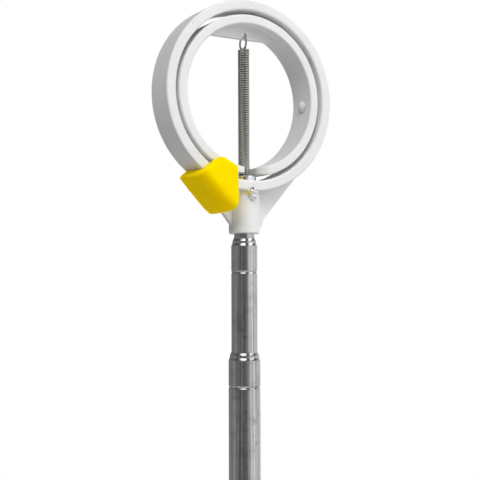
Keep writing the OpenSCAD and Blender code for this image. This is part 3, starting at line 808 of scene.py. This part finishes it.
def soft_block(size, centre, steps=(120, 160)):
    """A rounded block: in the direction d from its middle, the surface is at 1 over the p-norm of
    (n . d) / h over its walls, where n is a wall's outward normal and h its distance. A lower p
    makes a wider fillet, so the face and its roll are joined first, then the soft edges, last the
    crisp ones."""
    corner = {name: np.array(p) * MM for name, p in BLOCK_CORNERS.items()}
    middle = np.mean(list(corner.values()), axis=0)
    across = np.linspace(0, np.pi, steps[0])[:, None]
    around = np.linspace(0, 2 * np.pi, steps[1], endpoint=False)[None, :]
    d = np.stack(np.broadcast_arrays(np.sin(across) * np.cos(around), -np.cos(across),
                                     np.sin(across) * np.sin(around)), axis=2)

    def lean(name):
        """How far each direction leans towards a wall, never below nothing."""
        a, b, c = (corner[n] - middle for n in BLOCK_WALLS[name])
        n = np.cross(b - a, c - a)
        return np.maximum(0, d @ n / (n @ a))

    def joined(p, *leans):
        """Walls joined by fillets: their p-norm."""
        return sum(lean ** p for lean in leans) ** (1 / p)

    front = joined(size.roll, lean("face"), lean("roll"), lean("side"))
    soft = joined(size.softness, lean("bottom"), front)
    left = joined(size.corner, lean("side"), lean("upper_left"))
    total = joined(size.crispness, soft, left, *map(lean, CRISP_WALLS))
    points = d / total[:, :, None] + middle + np.array(centre)
    return close_poles(points[1:-1], [points[0, 0], points[-1, 0]])


class RETRIEVER_OT_block(bpy.types.Operator):
    """Moulds the soft stop block over the outer ring"""

    bl_idname = "retriever.block"
    bl_label = "Mould the stop block"

    def execute(self, context):
        size = context.scene.retriever_block
        low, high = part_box("head_frame")
        points, faces = soft_block(size, ring_centre())
        piece = new_piece("soft_stop_block", points, faces)
        cutter = drum_y("ring_cutter", high.x + size.fit, low.y - size.fit, 3 * high.y)
        cut_away(piece, cutter)
        piece.data.shade_smooth()
        piece.data.set_sharp_from_angle(angle=math.radians(35))
        dress(piece, "yellow_plastic")
        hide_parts("stop_block")
        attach(piece, HEAD)
        return {"FINISHED"}


class RETRIEVER_OT_head(bpy.types.Operator):
    """Finishes the white mouldings and the pins"""

    bl_idname = "retriever.head"
    bl_label = "Finish the head"

    def execute(self, context):
        for name in ("head_frame", "inner_ring", "left_pivot_pin", "right_pivot_pin"):
            dress_node(name)
        return {"FINISHED"}


class RETRIEVER_OT_pole(bpy.types.Operator):
    """Finishes the tubes, their bushes and clips, and the pieces in the base"""

    bl_idname = "retriever.pole"
    bl_label = "Finish the pole"

    def execute(self, context):
        for tube in ("tip", "second", "third", "fourth"):
            for part in ("tube", "bush", "clip"):
                dress_node(f"{tube}_{part}")
        for name in ("base_tube", "base_plug", "end_cap", "cap_screw"):
            dress_node(name)
        return {"FINISHED"}


# A dimple's floor starts where the wave, times the gain and less the start, reaches 1. The power
# makes its flank steeper.
DIMPLE_GAIN, DIMPLE_START, DIMPLE_POWER = 1.6, 0.35, 0.8


def grip_surface(size, low, high, radius, tube_radius, steps=(560, 168)):
    """The grip's skin, as rings from its bore's lower end, up outside and down inside. At height z
    and angle a its radius is the plain one, less a dimple where the product of two cosines, one
    round the grip and one along it, is high. The product changes its sign from row to row, which
    staggers the dimples. The nose narrows as 3 t ** 2 - 2 t ** 3 over its length, and the rim in a
    straight line."""
    z = np.linspace(low, high, steps[0])[:, None]
    a = np.linspace(0, 2 * np.pi, steps[1], endpoint=False)[None, :]
    foot = high - size.nose
    t = np.clip((z - foot) / size.nose, 0, 1)
    plain = radius - (radius - tube_radius - size.nose_wall) * t * t * (3 - 2 * t)
    wave = np.cos(size.around * a) * np.cos(np.pi * (z - low) / size.pitch)
    inner = np.minimum(z - low - size.lip, foot - size.lip / 2 - z)
    dent = (size.dimple * np.clip(wave * DIMPLE_GAIN - DIMPLE_START, 0, 1) ** DIMPLE_POWER
            * np.clip(inner / size.fade, 0, 1))
    rim = size.rim * np.clip(1 - (z - low) / size.rim_height, 0, 1)
    r = plain - dent - rim
    skin = np.stack([r * np.cos(a), r * np.sin(a), z + 0 * r], axis=2)
    bore = tube_radius + size.clearance
    inside = np.stack([bore * np.cos(a), bore * np.sin(a), 0 * a], axis=2)
    return np.concatenate([inside + [0, 0, low], skin, inside + [0, 0, high], inside + [0, 0, low]])


class RETRIEVER_OT_grip(bpy.types.Operator):
    """Moulds the grip with its staggered dimples"""

    bl_idname = "retriever.grip"
    bl_label = "Mould the grip"

    def execute(self, context):
        size = context.scene.retriever_grip
        low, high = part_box("grip")
        rings = grip_surface(size, low.z, high.z, high.x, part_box("base_tube")[1].x)
        piece = new_piece("textured_grip", rings, grid_faces(*rings.shape[:2]), smooth_angle=50)
        turn_outwards(piece.data, weld=0.001 * MM)
        dress(piece, "black_rubber")
        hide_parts("grip")
        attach(piece, BASE)
        return {"FINISHED"}


# --- Studio ---

def direction_at(azimuth, elevation):
    """The direction at an azimuth, 0 in front and growing rightwards, and an elevation."""
    a, e = math.radians(azimuth), math.radians(elevation)
    return Vector((math.sin(a) * math.cos(e), -math.cos(a) * math.cos(e), math.sin(e)))


def add_lamp(name, azimuth, elevation, distance, width, height, brightness):
    """An area lamp that faces the ring. Neither the camera nor metal sees it: metal sees the soft
    patches of MIRRORED in its place. brightness is that of its face."""
    lamp = bpy.data.lights.new(name, "AREA")
    lamp.shape = "ELLIPSE"
    lamp.size, lamp.size_y = width, height
    lamp.energy = brightness * math.pi ** 2 / 4 * width * height
    piece = bpy.data.objects.new(name, lamp)
    piece.location = ring_centre() + direction_at(azimuth, elevation) * distance
    piece.rotation_euler = (ring_centre() - piece.location).to_track_quat("-Z", "Y").to_euler()
    piece.visible_camera = False
    piece.visible_glossy = False
    bpy.context.scene.collection.objects.link(piece)


# Azimuth and elevation in degrees, distance, width and height of each lamp
LAMPS = {"left_lamp": (-35, 48, 1.5, 1.1, 0.6), "right_lamp": (57, 48, 1.5, 1.2, 0.6),
         "fill_lamp": (30, 30, 1.5, 0.8, 0.8)}
# The room's brightness round the object: azimuth in degrees from the front, and brightness. It is
# dark on the left with a few lighter strips, and light on the right.
ROOM = [(-180, 0.26), (-130, 0.26), (-118, 0.28), (-109, 0.36), (-100, 0.28), (-84, 0.24),
        (-72, 0.145), (-62, 0.14), (-51, 0.25), (-40, 0.13), (-23, 0.13), (-11, 0.25), (-1, 0.44),
        (6, 0.56), (14, 0.8), (21, 0.96), (34, 0.82), (79, 0.8), (99, 0.67), (150, 0.8),
        (158, 0.26), (180, 0.26)]
# The brightness above, and the sines of the elevations between which the room turns into it
CEILING, CEILING_FROM, CEILING_TO = 0.15, 0.2, 0.5
# Azimuths behind the object where metal sees the white background: it fades in between the first
# two and out between the last two
BEHIND = (104, 116, 150, 156)
# Soft patches of light that metal sees: azimuth, elevation, half width and half height in degrees,
# and brightness
MIRRORED = [(-44, 48, 24, 13, 2.4), (68, 48, 48, 14, 2.6)]
# The share of a patch, by the square of the distance from its middle, that is at full brightness
PATCH_CORE = 0.2
# The floor's radius, the distances between which it turns white, and the corners of its rim
FLOOR_RADIUS, FLOOR_FADE, FLOOR_SIDES = 1.3, (0.3, 1.1), 96
CAMERA_REACH = (0.01, 20)


def soft_patch(tree, way, azimuth, elevation, half_width, half_height):
    """A mask that is 1 in the middle of an ellipse of directions and falls to 0 at its edge."""
    a, e = math.radians(azimuth), math.radians(elevation)
    axes = [((math.cos(a), math.sin(a), 0), half_width),
            ((-math.sin(a) * math.sin(e), math.cos(a) * math.sin(e), math.cos(e)), half_height)]
    squares = []
    for axis, half in axes:
        side = vector_maths(tree, "DOT_PRODUCT", way, axis)
        share = maths(tree, "DIVIDE", side, math.sin(math.radians(half)))
        squares.append(maths(tree, "POWER", share, 2.0))
    inside = spread(tree, maths(tree, "ADD", *squares), 1.0, 0.0, PATCH_CORE, 1.0)
    facing = vector_maths(tree, "DOT_PRODUCT", way, direction_at(azimuth, elevation))
    return maths(tree, "MULTIPLY", inside, maths(tree, "GREATER_THAN", facing, 0.0))


def room_world(scene):
    """The camera sees a white background. Light and metal see a room that is dim on the left and
    pale on the right, and metal sees the background in one part of it and the soft patches."""
    world = bpy.data.worlds.new("studio")
    world.use_nodes = True
    tree = world.node_tree
    tree.nodes.clear()
    direction = put(tree, "ShaderNodeTexCoord").outputs["Generated"]
    way = parts_of(tree, direction)
    turn = maths(tree, "ARCTAN2", way[0], maths(tree, "MULTIPLY", way[1], -1.0))
    share = maths(tree, "ADD", maths(tree, "DIVIDE", turn, 2 * math.pi), 0.5)
    ramp = put(tree, "ShaderNodeValToRGB", {"Fac": share})
    stops = ramp.color_ramp
    stops.interpolation = "EASE"
    for azimuth, value in ROOM[1:-1]:
        stops.elements.new(azimuth / 360 + 0.5).color = grey(value)
    stops.elements[0].color = stops.elements[-1].color = grey(ROOM[0][1])
    above = spread(tree, way[2], 0.0, 1.0, CEILING_FROM, CEILING_TO)
    view = blend_sockets(tree, above, ramp.outputs[0], grey(CEILING))
    path = put(tree, "ShaderNodeLightPath").outputs
    for *patch, brightness in MIRRORED:
        shown = maths(tree, "MULTIPLY", soft_patch(tree, direction, *patch), path["Is Glossy Ray"])
        view = blend_sockets(tree, shown, view, grey(brightness))
    room = put(tree, "ShaderNodeBackground", {"Color": view, "Strength": 1.0})
    white = put(tree, "ShaderNodeBackground", {"Color": grey(1), "Strength": 1.0})
    edges = [math.radians(a) for a in BEHIND]
    behind = maths(tree, "MULTIPLY", spread(tree, turn, 0.0, 1.0, edges[0], edges[1]),
                   spread(tree, turn, 1.0, 0.0, edges[2], edges[3]))
    bent = maths(tree, "ADD", path["Is Glossy Ray"], path["Is Transmission Ray"])
    seen = maths(tree, "ADD", path["Is Camera Ray"], maths(tree, "MULTIPLY", bent, behind), True)
    mixed = put(tree, "ShaderNodeMixShader", {0: seen, 1: room.outputs[0], 2: white.outputs[0]})
    put(tree, "ShaderNodeOutputWorld", {"Surface": mixed.outputs[0]})
    scene.world = world


def floor_material(rgb):
    """A pale matt floor that for the camera turns into the white background further out."""
    material = bpy.data.materials.new("floor")
    material.use_nodes = True
    tree = material.node_tree
    tree.nodes.clear()
    place = object_place(tree)
    fade = spread(tree, vector_maths(tree, "LENGTH", place), 0.0, 1.0, *FLOOR_FADE)
    mottle = spread(tree, noise(tree, place, 12.0), 0.985, 1.0)
    tint = blend_colours(tree, mottle, shade(rgb, 0.9), rgb)
    matt = put(tree, "ShaderNodeBsdfDiffuse", {"Color": tint})
    white = put(tree, "ShaderNodeEmission", {"Color": grey(1), "Strength": 1.0})
    path = put(tree, "ShaderNodeLightPath").outputs
    seen = maths(tree, "ADD", path["Is Camera Ray"], path["Is Transmission Ray"], True)
    fade = maths(tree, "MULTIPLY", fade, seen)
    mixed = put(tree, "ShaderNodeMixShader", {0: fade, 1: matt.outputs[0], 2: white.outputs[0]})
    put(tree, "ShaderNodeOutputMaterial", {"Surface": mixed.outputs[0]})
    return material


class RETRIEVER_OT_stage(bpy.types.Operator):
    """Sets the camera, the lamps, the room and the floor"""

    bl_idname = "retriever.stage"
    bl_label = "Set the stage"

    def execute(self, context):
        scene = context.scene
        studio = scene.retriever_studio
        scene.view_settings.view_transform = "Standard"
        data = bpy.data.cameras.new("camera")
        data.lens = studio.lens
        data.clip_start, data.clip_end = CAMERA_REACH
        camera = bpy.data.objects.new("camera", data)
        camera.matrix_world = (Matrix.Translation(studio.camera_at)
                               @ Matrix.Rotation(-studio.yaw, 4, "Z")
                               @ Matrix.Rotation(math.pi / 2 + studio.pitch, 4, "X")
                               @ Matrix.Rotation(studio.roll, 4, "Z"))
        scene.collection.objects.link(camera)
        scene.camera = camera
        for name, place in LAMPS.items():
            add_lamp(name, *place, getattr(studio, name))
        room_world(scene)
        turn = np.linspace(0, 2 * np.pi, FLOOR_SIDES, endpoint=False)
        rim = FLOOR_RADIUS * np.stack([np.cos(turn), np.sin(turn), 0 * turn], axis=1)
        floor = new_piece("floor", rim, [list(range(FLOOR_SIDES))])
        floor.data.materials.append(floor_material(studio.floor))
        return {"FINISHED"}


class RETRIEVER_PT_panel(bpy.types.Panel):
    """Lists the retriever's operators and sizes"""

    bl_label = "Ball retriever"
    bl_idname = "RETRIEVER_PT_panel"
    bl_space_type = "VIEW_3D"
    bl_region_type = "UI"
    bl_category = "Retriever"

    def draw(self, context):
        for operator in OPERATORS:
            self.layout.operator(operator.bl_idname)
        for group in GROUP_NAMES:
            box = self.layout.box()
            values = getattr(context.scene, group)
            for name in values.bl_rna.properties.keys():
                if name not in ("rna_type", "name"):
                    box.prop(values, name)


GROUP_NAMES = {"retriever_spring": RetrieverSpring, "retriever_rivet": RetrieverRivet,
               "retriever_block": RetrieverBlock, "retriever_grip": RetrieverGrip,
               "retriever_colours": RetrieverColours, "retriever_studio": RetrieverStudio}
OPERATORS = [RETRIEVER_OT_head, RETRIEVER_OT_spring, RETRIEVER_OT_rivet, RETRIEVER_OT_block,
             RETRIEVER_OT_pole, RETRIEVER_OT_grip, RETRIEVER_OT_stage]


def register():
    """Registers the classes and puts the sizes on the scene."""
    for made in (*GROUP_NAMES.values(), *OPERATORS, RETRIEVER_PT_panel):
        bpy.utils.register_class(made)
    for name, group in GROUP_NAMES.items():
        setattr(bpy.types.Scene, name, PointerProperty(type=group))


def unregister():
    """Takes the sizes and the classes away again."""
    for name in GROUP_NAMES:
        delattr(bpy.types.Scene, name)
    for made in (RETRIEVER_PT_panel, *OPERATORS[::-1], *GROUP_NAMES.values()):
        bpy.utils.unregister_class(made)


def main():
    """Makes every piece."""
    register()
    bpy.ops.retriever.head()
    bpy.ops.retriever.spring()
    bpy.ops.retriever.rivet()
    bpy.ops.retriever.block()
    bpy.ops.retriever.pole()
    bpy.ops.retriever.grip()
    bpy.ops.retriever.stage()


if __name__ == "__main__":
    main()
